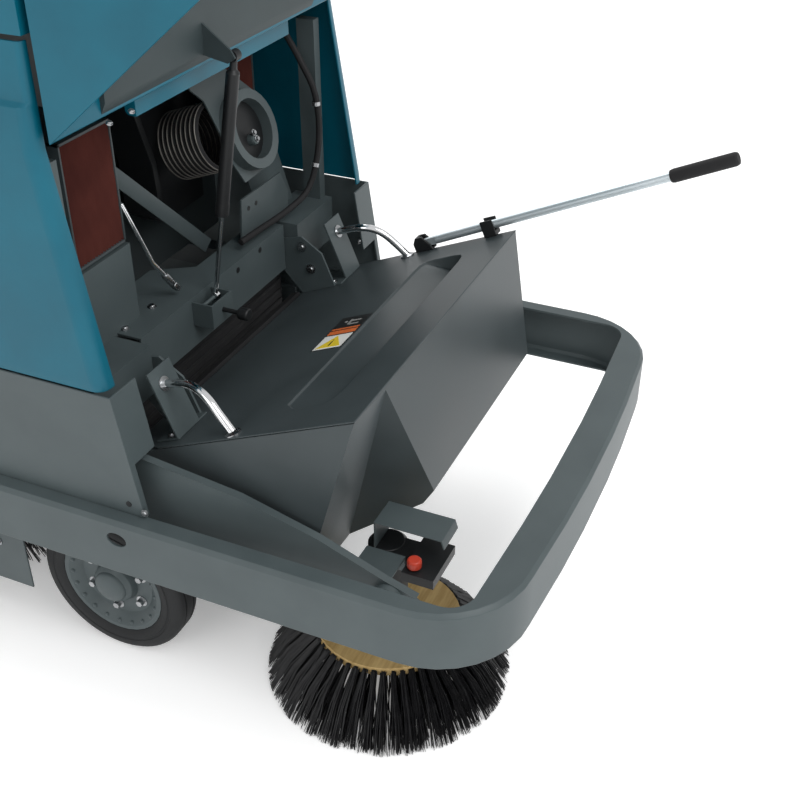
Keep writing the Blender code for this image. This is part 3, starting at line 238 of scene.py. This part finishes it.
def bolt(bm, point, normal, radius=0.008, height=0.005, washer=1.45):
    """Add a washer and a hexagon head with a chamfer."""
    place = facing(point, normal)
    turned(bm, [(0, -0.001), (radius * washer, -0.001), (radius * washer, 0.0012), (0, 0.0012)], 20, place)
    turned(bm, [(radius, 0.0010), (radius, height * 0.8), (radius * 0.86, height), (0, height)], 6, place)


def tube(bm, points, radius, sides=14):
    """Add a round bar through a line of points."""
    points = [Vector(p) for p in points]
    tangent = (points[1] - points[0]).normalized()
    side = tangent.orthogonal().normalized()
    rings = []
    for i, point in enumerate(points):
        tangent = (points[min(i + 1, len(points) - 1)] - points[max(i - 1, 0)]).normalized()
        side = (side - tangent * side.dot(tangent)).normalized()
        up = side.cross(tangent)
        rings.append([bm.verts.new(point + radius * (side * math.cos(math.tau * s / sides)
                                                      + up * math.sin(math.tau * s / sides)))
                      for s in range(sides)])
    for a, b in zip(rings, rings[1:]):
        for s in range(sides):
            bm.faces.new((a[s], a[(s + 1) % sides], b[(s + 1) % sides], b[s]))
    bm.faces.new(rings[0][::-1])
    bm.faces.new(rings[-1])


def curve_through(points, steps=6):
    """Catmull-Rom points through given ones."""
    points = [Vector(p) for p in points]
    ends = [2 * points[0] - points[1]] + points + [2 * points[-1] - points[-2]]
    line = []
    for p0, p1, p2, p3 in zip(ends, ends[1:], ends[2:], ends[3:]):
        for i in range(steps):
            t = i / steps
            line.append(0.5 * (2 * p1 + (p2 - p0) * t + (2 * p0 - 5 * p1 + 4 * p2 - p3) * t * t
                               + (3 * p1 - p0 - 3 * p2 + p3) * t ** 3))
    return line + [points[-1]]


def strand(bm, base, middle, tip, thick):
    """Add one tapered three-sided bristle through three points."""
    rings = []
    along = (tip - base).normalized()
    side = along.orthogonal().normalized()
    up = along.cross(side)
    for point, radius in ((base, thick), (middle, thick * 0.9), (tip, thick * 0.45)):
        rings.append([bm.verts.new(point + radius * (side * math.cos(a) + up * math.sin(a)))
                      for a in (0, math.tau / 3, 2 * math.tau / 3)])
    for a, b in zip(rings, rings[1:]):
        for s in range(3):
            bm.faces.new((a[s], a[(s + 1) % 3], b[(s + 1) % 3], b[s]))
    bm.faces.new(rings[0][::-1])
    bm.faces.new(rings[-1])


def about(centre, turn):
    """A turn about the X direction through a point."""
    return Matrix.Translation(centre) @ Matrix.Rotation(turn, 4, "X") @ Matrix.Translation(-centre)


ON_HOPPER = about(HOPPER_PIVOT, HOPPER_TURN)
ON_HOOD = about(HOOD_HINGE, HOOD_TURN)
ON_FAN = about(FAN_CENTRE, FAN_LEAN)


# ------------------------------------------------------------------ wheels
def build_tyre(node, centre, width, radius, inner):
    """Solid tyre with rounded shoulders, tread grooves and moulded sidewall rings."""
    half, part = width / 2, (radius - inner) / 0.058
    side = [(inner, half * 0.84)]
    side += [(inner + step * part, h) for step, h in (
        (0.006, half * 0.93), (0.016, half), (0.020, half), (0.022, half - 0.0015), (0.027, half - 0.0015),
        (0.029, half))]
    side += [(radius - step * part, h) for step, h in (
        (0.020, half * 0.985), (0.009, half * 0.90), (0.003, half * 0.76), (0.0005, half * 0.60),
        (0, half * 0.45), (0.005, half * 0.42), (0.005, half * 0.33), (0, half * 0.30), (0, 0.0))]
    profile = [(r, h) for r, h in side] + [(r, -h) for r, h in reversed(side[:-1])]
    bm = bmesh.new()
    turned(bm, profile + [profile[0]], 80, facing(centre, (1, 0, 0)))
    bmesh.ops.remove_doubles(bm, verts=bm.verts, dist=1e-6)
    obj = piece(node + "_moulded", bm, body_of(node), "tyre", smooth=40)
    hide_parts(node)


def build_wheel_details(side, sign):
    """Lug nuts, painted hub cap and a ring of dimples on a front wheel's outer face."""
    centre = Vector((sign * TRACK_HALF, FRONT_AXLE_Y, WHEEL_RADIUS))
    face = Vector((sign, 0, 0))
    bm = bmesh.new()
    for i in range(6):
        angle = math.tau * (i / 6) - math.radians(24)
        spot = centre + Vector((sign * 0.010, 0.062 * math.cos(angle), 0.062 * math.sin(angle)))
        bolt(bm, spot, face, 0.0078, 0.011, 1.5)
    piece(f"lug_nuts_{side}", bm, f"wheel_{side}", "steel")
    paint = bmesh.new()
    cap = [(0.034, 0.0315), (0.033, 0.036), (0.028, 0.040), (0.016, 0.0425), (0, 0.0428)]
    turned(paint, cap, 32, facing(centre, face))
    for i in range(20):
        angle = math.tau * i / 20
        spot = centre + Vector((sign * 0.0245, 0.0945 * math.cos(angle), 0.0945 * math.sin(angle)))
        turned(paint, [(0.0050, -0.006), (0.0045, 0.0005), (0.0028, 0.0020), (0, 0.0024)], 10,
               facing(spot, face))
    piece(f"hub_cap_{side}", paint, f"wheel_{side}", "grey_paint")


# ------------------------------------------------------------------ brushes
def build_side_bristles():
    """Bunches of black bristle splaying from the disc to the floor, a little uneven."""
    bm = bmesh.new()
    rows = [(0.139, 0.230, 52, 0.0, 0.116), (0.122, 0.214, 46, 0.5, 0.1045), (0.104, 0.192, 40, 0.3, 0.1045),
            (0.078, 0.152, 30, 0.6, 0.1045)]
    for base_radius, tip_radius, count, shift, level in rows:
        for i in range(count):
            centre = math.tau * (i + shift) / count
            reach = tip_radius + random.uniform(-0.007, 0.005)
            lean = random.uniform(-0.03, 0.03)
            for _ in range(30):
                angle = centre + random.gauss(0, 0.018)
                spread = centre + lean + random.gauss(0, 0.036)
                out = min(reach + random.gauss(0, 0.004), 0.2325)
                foot = base_radius + random.uniform(-0.004, 0.004)
                base = SIDE_BRUSH + Vector((foot * math.cos(angle), foot * math.sin(angle), level))
                tip = SIDE_BRUSH + Vector((out * math.cos(spread), out * math.sin(spread),
                                           max(0.001, random.gauss(0.004, 0.004))))
                middle = (base + tip) / 2 + Vector((math.cos(spread), math.sin(spread), 0)) * 0.007
                middle.z += 0.006
                strand(bm, base, middle, tip, 0.00145)
    obj = piece("side_brush_bunches", bm, "side_brush", "bristle", smooth=80)
    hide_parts("side_brush_bristles")


def build_main_brush():
    """Core tube with bunches of bristle in V-shaped rows."""
    bm = bmesh.new()
    centre = MAIN_BRUSH
    core = [(0, -0.336), (0.045, -0.336), (0.052, -0.330), (0.052, 0.330), (0.045, 0.336), (0, 0.336)]
    turned(bm, core, 32, facing(centre, (1, 0, 0)))
    for row in range(18):
        for step in range(44):
            x = -0.318 + 0.636 * step / 43
            angle = math.tau * row / 18 + 0.9 * abs(x) / 0.32
            for _ in range(5):
                swing = angle + random.gauss(0, 0.030)
                here = x + random.gauss(0, 0.004)
                out = 0.1565 + random.uniform(-0.003, 0.001)
                base = centre + Vector((x, 0.050 * math.cos(angle), 0.050 * math.sin(angle)))
                tip = centre + Vector((here, out * math.cos(swing), out * math.sin(swing)))
                strand(bm, base, (base + tip) / 2, tip, 0.0018)
    obj = piece("main_brush_bunches", bm, "main_brush", "bristle", smooth=80)
    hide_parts("main_brush")


# ------------------------------------------------------------------ compartment
def build_filter(node):
    """Pleated element in a thin metal frame."""
    low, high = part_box(node)
    bm = bmesh.new()
    pleats = int((high.x - low.x - 0.008) / 0.0075)
    depth, front, back = 0.007, low.y + 0.002, high.y - 0.002
    for y, way in ((front, 1), (back, -1)):
        previous = None
        for i in range(pleats * 2 + 1):
            x = low.x + 0.004 + (high.x - low.x - 0.008) * i / (pleats * 2)
            line = [bm.verts.new((x + 0.0006 * math.sin(k * 1.9 + i), y + way * (depth if i % 2 else 0),
                                  low.z + 0.004 + (high.z - low.z - 0.008) * k / 10)) for k in range(11)]
            if previous:
                for k in range(10):
                    bm.faces.new((previous[k], line[k], line[k + 1], previous[k + 1]))
            previous = line
    box(bm, (low.x + 0.004, front + depth, low.z + 0.004), (high.x - 0.004, back - depth, high.z - 0.004))
    obj = piece(node + "_pleats", bm, "root", "filter", smooth=20)
    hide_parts(node)
    rim = bmesh.new()
    box(rim, (low.x, low.y, low.z), (low.x + 0.004, high.y, high.z), bevel=0.0006)
    box(rim, (high.x - 0.004, low.y, low.z), (high.x, high.y, high.z), bevel=0.0006)
    box(rim, (low.x, low.y, low.z), (high.x, high.y, low.z + 0.005), bevel=0.0006)
    box(rim, (low.x, low.y, high.z - 0.005), (high.x, high.y, high.z), bevel=0.0006)
    piece(node + "_frame", rim, "root", "dark_paint")


def build_duct():
    """Corrugated black hose with its light wire rings, and a black disc in front of it as painted shade in
    the fan's mouth.
    """
    start, pitch, turns = FAN_CENTRE.y + 0.032, DUCT_PITCH, DUCT_TURNS
    profile = [(0.0620, 0.0)]
    for i in range(turns * 8 + 1):
        wave = 0.5 - 0.5 * math.cos(math.tau * i / 8)
        profile.append((0.0635 + 0.0045 * wave, pitch * i / 8))
    profile.append((0.0620, pitch * turns))
    bm = bmesh.new()
    place = ON_FAN @ facing((DUCT_X, start, DUCT_Z), (0, 1, 0))
    turned(bm, profile, 48, place)
    obj = piece("flex_duct_rings", bm, "root", "rubber", smooth=70)
    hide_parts("flex_duct")
    wires = bmesh.new()
    for ring in range(turns):
        section = [(0.0680 + 0.0015 * math.cos(math.tau * s / 8),
                    pitch * (ring + 0.5) + 0.0015 * math.sin(math.tau * s / 8)) for s in range(9)]
        turned(wires, section, 48, place)
    bmesh.ops.remove_doubles(wires, verts=wires.verts, dist=1e-6)
    piece("flex_duct_wires", wires, "root", "wire")
    # a thin black disc closing the fan's mouth, painted shade for the dark inside of the opening
    mouth = bmesh.new()
    turned(mouth, [(0, 0.0), (0.0597, 0.0), (0.0597, 0.0012), (0, 0.0012)], 40,
           ON_FAN @ facing((FAN_CENTRE.x, FAN_CENTRE.y + 0.0258, FAN_CENTRE.z), (0, -1, 0)))
    piece("fan_mouth_painted_shade", mouth, "root", "black_plastic")


def build_handles():
    """Polished bars of the grab handles."""
    path = [(0.334, -0.2530, 0.540), (0.337, -0.285, 0.538), (0.341, -0.310, 0.533), (0.347, -0.331, 0.522),
            (0.353, -0.347, 0.504), (0.359, -0.360, 0.478), (0.364, -0.374, 0.446)]
    for side, sign in (("right", -1), ("left", 1)):
        bm = bmesh.new()
        line = curve_through([(sign * x, y, z) for x, y, z in path], 5)
        tube(bm, [ON_HOPPER @ p for p in line], 0.0078, 18)
        obj = piece(f"grab_handle_{side}_bar", bm, "hopper", "chrome", smooth=60)
        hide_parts(f"grab_handle_{side}")


def build_brace_and_clips():
    """Flat diagonal brace, shaker sleeve and clevis, and hose clips."""
    bm = bmesh.new()
    ends = [Vector((-0.185, -0.018, 0.923)), Vector((0.118, -0.060, 0.613))]
    run = ends[1] - ends[0]
    place = Matrix.Translation(ends[0]) @ run.to_track_quat("X", "Z").to_matrix().to_4x4()
    box(bm, (0, -0.0015, -0.015), (run.length, 0.0015, 0.015), place, 0.0008)
    piece("diagonal_brace", bm, "root", "grey_paint")

    bm = bmesh.new()
    low, high = Vector((-0.097, -0.128, 0.632)), Vector((-0.153, -0.120, 0.711))
    way = (high - low).normalized()
    turned(bm, [(0.0046, -0.004), (0.0070, -0.003), (0.0070, 0.024), (0.0058, 0.027), (0.0046, 0.027)], 16,
           facing(low + way * 0.024, way))
    box(bm, (-0.0080, -0.0050, -0.0180), (0.0080, 0.0050, 0.0020), facing(low + way * 0.018, way), 0.0012)
    piece("shaker_clevis", bm, "root", "steel")

    bm = bmesh.new()
    clip = [(0.0072, -0.004), (0.0090, -0.004), (0.0090, 0.004), (0.0072, 0.004)]
    for point, way in (((0.3872, -0.1810, 0.845), (0, -0.05, -1)),
                       ((0.3720, -0.1805, 0.715), (-0.4, 0.05, -1))):
        turned(bm, clip, 18, facing(point, way))
    piece("hose_clips", bm, "root", "steel")


def build_curtain():
    """Rubber curtain behind the hopper that closes the gap under the cross beam."""
    bm = bmesh.new()
    box(bm, (-0.296, -0.1225, 0.330), (0.296, -0.1205, 0.5145), bevel=0.0006)
    for i in range(7):
        z = 0.340 + 0.0245 * i
        box(bm, (-0.296, -0.1240, z), (0.296, -0.1215, z + 0.0090), bevel=0.0010)
    piece("dust_curtain", bm, "root", "rubber")


# ------------------------------------------------------------------ label, fasteners
def build_label():
    """Generic warning plate on the lid: triangle, bands and a pictogram without lettering."""
    z = LID_TOP
    plates = {
        "label_black": [((-0.074, -0.4360), (0.066, -0.3660), 0.0003)],
        "label_orange": [((-0.010, -0.4330), (0.006, -0.3690), 0.0005),
                         ((0.010, -0.4330), (0.016, -0.3690), 0.0005)],
        "label_white": [((-0.071, -0.4330), (-0.015, -0.3690), 0.0005)],
    }
    for look, blocks in plates.items():
        bm = bmesh.new()
        for (x0, y0), (x1, y1), up in blocks:
            box(bm, (x0, y0, z), (x1, y1, z + up), ON_HOPPER)
        piece(look + "_plate", bm, "hopper", look)
    bm = bmesh.new()
    corners = [(-0.066, -0.4290), (-0.066, -0.3730), (-0.019, -0.4010)]
    top = [bm.verts.new(ON_HOPPER @ Vector((x, y, z + 0.0008))) for x, y in corners]
    low = [bm.verts.new(ON_HOPPER @ Vector((x, y, z + 0.0004))) for x, y in corners]
    bm.faces.new(top)
    for i in range(3):
        bm.faces.new((top[i], low[i], low[(i + 1) % 3], top[(i + 1) % 3]))
    bm.faces.new(low[::-1])
    piece("label_triangle", bm, "hopper", "label_yellow")
    bm = bmesh.new()
    box(bm, (-0.0600, -0.4025, z + 0.0008), (-0.0420, -0.3990, z + 0.0010), ON_HOPPER)
    box(bm, (-0.0390, -0.4025, z + 0.0008), (-0.0360, -0.3990, z + 0.0010), ON_HOPPER)
    piece("label_mark", bm, "hopper", "label_black")
    bm = bmesh.new()
    turned(bm, [(0.0034, 0.0), (0.0034, 0.0005), (0, 0.0005)], 20,
           ON_HOPPER @ Matrix.Translation((0.044, -0.3860, z + 0.0003)))
    box(bm, (0.030, -0.3990, z + 0.0003), (0.052, -0.3940, z + 0.0008), ON_HOPPER)
    box(bm, (0.028, -0.4200, z + 0.0003), (0.033, -0.3990, z + 0.0008), ON_HOPPER)
    box(bm, (0.043, -0.4200, z + 0.0003), (0.048, -0.3990, z + 0.0008), ON_HOPPER)
    piece("label_pictogram", bm, "hopper", "label_grey")


def build_fasteners():
    """Bolts, washers, black discs as painted shade in the holes, and the arm's boss, one piece for each body
    and finish.
    """
    # dark: thin black discs set over the holes, painted shade standing in for the shade inside them
    root, dark = bmesh.new(), bmesh.new()
    for sign in (-1, 1):
        out = Vector((sign, 0, 0))
        bolt(root, (sign * 0.4835, -0.2894, 0.4284), out, 0.0050, 0.004)
        turned(dark, [(0.0055, -0.001), (0.0055, 0.0006), (0, 0.0006)], 20,
               facing((sign * 0.4835, -0.2587, 0.4378), out))
        bolt(root, (sign * 0.412, -0.2619, 0.533), (0, -1, 0), 0.0050, 0.004, 1.25)
        bolt(root, (sign * 0.4510, 0.0980, 0.2100), out, 0.0060, 0.005)
        bolt(root, (sign * 0.4510, 0.3800, 0.3700), out, 0.0060, 0.005)
        bolt(root, (sign * 0.4820, 0.1500, 0.5600), out, 0.0050, 0.003)
        bolt(root, (sign * 0.4820, 0.5500, 0.5600), out, 0.0050, 0.003)
    for x, z in ((0.072, 0.598), (0.161, 0.603)):
        turned(dark, [(0.0060, -0.001), (0.0060, 0.0006), (0, 0.0006)], 20,
               facing((x, -0.1570, z), (0, -1, 0)))
    for x, y in ((-0.244, -0.110), (-0.155, -0.108)):
        bolt(root, (x, y, 0.6170), (0, 0, 1), 0.0065, 0.005, 1.3)
    for x, z in ((0.1750, 0.6850), (0.2050, 0.6850)):
        turned(dark, [(0.0050, -0.001), (0.0050, 0.0006), (0, 0.0006)], 20,
               facing((x, -0.1290, z), (0, -1, 0)))
    front = ON_FAN.to_3x3() @ Vector((0, -1, 0))
    for x, z in ((0.229, 0.816), (0.226, 0.830)):
        bolt(root, ON_FAN @ Vector((x, -0.1190, z)), front, 0.0050, 0.005, 1.3)
    piece("painted_hole_shade", dark, "root", "black_plastic")
    piece("bolts_body", root, "root", "steel")

    hopper = bmesh.new()
    turn = ON_HOPPER.to_3x3()
    for sign in (-1, 1):
        for z in (0.4930, 0.5450):
            spot = ON_HOPPER @ Vector((sign * 0.2640, -0.1970, z))
            bolt(hopper, spot, turn @ Vector((-sign, 0, 0)), 0.0070, 0.005)
        for x in (0.285, 0.345):
            spot = ON_HOPPER @ Vector((sign * x, -0.2250, 0.4463))
            bolt(hopper, spot, turn @ Vector((0, 0, 1)), 0.0060, 0.005)
        washer = [(0.0078, 0.0), (0.0135, 0.0), (0.0135, 0.0020), (0.0078, 0.0024)]
        turned(hopper, washer, 24, ON_HOPPER @ facing((sign * 0.334, -0.2520, 0.5400), (0, -1, 0)))
        flange = [(0.0080, 0.0), (0.0150, 0.0), (0.0150, 0.0020), (0.0082, 0.0050)]
        turned(hopper, flange, 20, ON_HOPPER @ Matrix.Translation((sign * 0.3640, -0.3740, 0.4431)))
    piece("bolts_hopper", hopper, "hopper", "steel")

    hood = bmesh.new()
    for x in (-0.3924, -0.3378):
        bolt(hood, (x, -0.2590, 1.0700), (0, -0.3, 1), 0.0045, 0.0035, 1.2)
    piece("bolts_hood", hood, "hood", "steel")

    arm = bmesh.new()
    rings = [(0.0235, -0.004), (0.0235, 0.0016), (0.0150, 0.0022), (0.0150, 0.0044), (0.0060, 0.0050),
             (0, 0.0050)]
    turned(arm, rings, 28, facing((-0.4045, -0.697, 0.320), (-1, 0, 0)))
    piece("arm_boss", arm, "side_arm", "grey_paint")


# ------------------------------------------------------------------ seat
def build_pad(node, channels):
    """Crowned vinyl pad whose sides pull in, with sewn channels across it."""
    low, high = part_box(node)
    bm = bmesh.new()
    bm.from_mesh(NODES[node].data)
    bmesh.ops.remove_doubles(bm, verts=bm.verts, dist=0.00002)
    obj = piece(node + "_padded", bm, body_of(node), "seat_vinyl", smooth=180)
    remesh = obj.modifiers.new("even", "REMESH")
    remesh.mode, remesh.voxel_size = "VOXEL", 0.006
    soft = obj.modifiers.new("soft", "SMOOTH")
    soft.factor, soft.iterations = 0.5, 8
    bpy.context.view_layer.update()
    graph = bpy.context.evaluated_depsgraph_get()
    mesh = bpy.data.meshes.new_from_object(obj.evaluated_get(graph))
    obj.modifiers.clear()
    obj.data = mesh
    mesh.shade_smooth()
    upright = (high.z - low.z) > (high.y - low.y)
    for vert in mesh.vertices:
        along = (vert.co.z if upright else vert.co.y)
        face = (low.y - vert.co.y if upright else vert.co.z - high.z)
        x = abs(vert.co.x - (low.x + high.x) / 2) / ((high.x - low.x) / 2)
        dip = sum(math.exp(-((along - c) / 0.006) ** 2) for c in channels) * 0.006
        dip += math.exp(-((x - 0.72) / 0.03) ** 2) * 0.005
        near = math.exp(-abs(face if not upright else (vert.co.y - low.y) * 0.3) / 0.03)
        vert.co -= vert.normal * dip * near
    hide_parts(node)


def build_steering_wheel():
    """Round rim with finger waves, dished hub and three spokes."""
    place = Matrix.Translation(WHEEL_CENTRE) @ Matrix.Rotation(math.radians(-15), 4, "X")
    bm = bmesh.new()
    rings, steps, sides = [], 96, 14
    for i in range(steps):
        turn = math.tau * i / steps
        thick = 0.0132 + 0.0008 * math.cos(24 * turn)
        ring = []
        for s in range(sides):
            swing = math.tau * s / sides
            reach = RIM_CIRCLE + thick * math.cos(swing)
            spot = Vector((reach * math.cos(turn), reach * math.sin(turn), thick * math.sin(swing)))
            ring.append(bm.verts.new(place @ spot))
        rings.append(ring)
    for a, b in zip(rings, rings[1:] + rings[:1]):
        for s in range(sides):
            bm.faces.new((a[s], a[(s + 1) % sides], b[(s + 1) % sides], b[s]))
    turned(bm, [(0, -0.030), (0.030, -0.030), (0.043, 0.000), (0.044, 0.006), (0.036, 0.010), (0.016, 0.0115),
                (0, 0.0118)], 40, place)
    for angle in (90, 210, 330):
        spoke = place @ Matrix.Rotation(math.radians(angle), 4, "Z")
        box(bm, (0.030, -0.012, -0.006), (0.164, 0.012, 0.003), spoke, 0.003)
    obj = piece("steering_wheel_moulded", bm, "steering_wheel", "black_plastic")
    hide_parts("steering_wheel")


# ------------------------------------------------------------------ stage
def build_stage():
    """Pale floor, soft lights and the camera."""
    bm = bmesh.new()
    bmesh.ops.create_grid(bm, x_segments=1, y_segments=1, size=40)
    mesh = bpy.data.meshes.new("floor")
    bm.to_mesh(mesh)
    bm.free()
    floor = bpy.data.objects.new("floor", mesh)
    bpy.context.scene.collection.objects.link(floor)
    mat = bpy.data.materials.new("floor")
    mat.use_nodes = True
    mat.node_tree.nodes["Principled BSDF"].inputs["Base Color"].default_value = (0.93, 0.93, 0.93, 1)
    mat.node_tree.nodes["Principled BSDF"].inputs["Roughness"].default_value = 0.9
    mat.node_tree.nodes["Principled BSDF"].inputs["Emission Color"].default_value = (1, 1, 1, 1)
    mat.node_tree.nodes["Principled BSDF"].inputs["Emission Strength"].default_value = 0.28
    mesh.materials.append(mat)

    world = bpy.data.worlds.new("studio")
    world.use_nodes = True
    world.node_tree.nodes["Background"].inputs["Color"].default_value = (1.0, 1.0, 1.0, 1)
    world.node_tree.nodes["Background"].inputs["Strength"].default_value = 0.74
    bpy.context.scene.world = world
    for name, spot, target, size, power in (
            ("key", (-1.2, -3.6, 4.2), (0, -0.3, 0.5), 2.6, 120),
            ("side", (-4.5, 0.5, 2.6), (0, -0.2, 0.6), 2.2, 35),
            ("back", (3.0, 2.5, 4.0), (0, -0.4, 0.5), 2.4, 90)):
        lamp = bpy.data.lights.new(name, "AREA")
        lamp.size, lamp.energy = size, power
        obj = bpy.data.objects.new(name, lamp)
        obj.location = spot
        obj.rotation_euler = (Vector(target) - Vector(spot)).to_track_quat("-Z", "Y").to_euler()
        bpy.context.scene.collection.objects.link(obj)

    data = bpy.data.cameras.new("view")
    data.lens, data.sensor_width = CAMERA_LENS, 36
    data.clip_end = 100
    camera = bpy.data.objects.new("view", data)
    forward, up = CAMERA_FORWARD.normalized(), CAMERA_UP.normalized()
    right = forward.cross(up)
    turn = Matrix((right, up, -forward)).transposed().to_4x4()
    camera.matrix_world = Matrix.Translation(CAMERA_AT) @ turn
    bpy.context.scene.collection.objects.link(camera)
    bpy.context.scene.camera = camera
    bpy.context.scene.view_settings.view_transform = "Standard"


SPECIAL = {"front_tyre_left", "front_tyre_right", "rear_tyre", "side_brush_bristles", "main_brush",
           "filter_left", "filter_right", "flex_duct", "grab_handle_left", "grab_handle_right",
           "seat_cushion", "seat_back", "steering_wheel"}


def main():
    """Build every piece, then the stage."""
    for node in sorted(NODES):
        if node not in SPECIAL:
            rounded(node)
    for side, sign in (("right", -1), ("left", 1)):
        spot = (sign * TRACK_HALF, FRONT_AXLE_Y, WHEEL_RADIUS)
        build_tyre(f"front_tyre_{side}", spot, 0.066, WHEEL_RADIUS, 0.1095)
    build_tyre("rear_tyre", (0, REAR_AXLE_Y, WHEEL_RADIUS), 0.100, WHEEL_RADIUS, 0.105)
    build_wheel_details("right", -1)
    build_wheel_details("left", 1)
    build_side_bristles()
    build_main_brush()
    build_filter("filter_right")
    build_filter("filter_left")
    build_duct()
    build_handles()
    build_brace_and_clips()
    build_curtain()
    build_label()
    build_fasteners()
    build_pad("seat_cushion", (0.60, 0.69, 0.78))
    build_pad("seat_back", (0.98, 1.08, 1.18))
    build_steering_wheel()
    build_stage()


main()
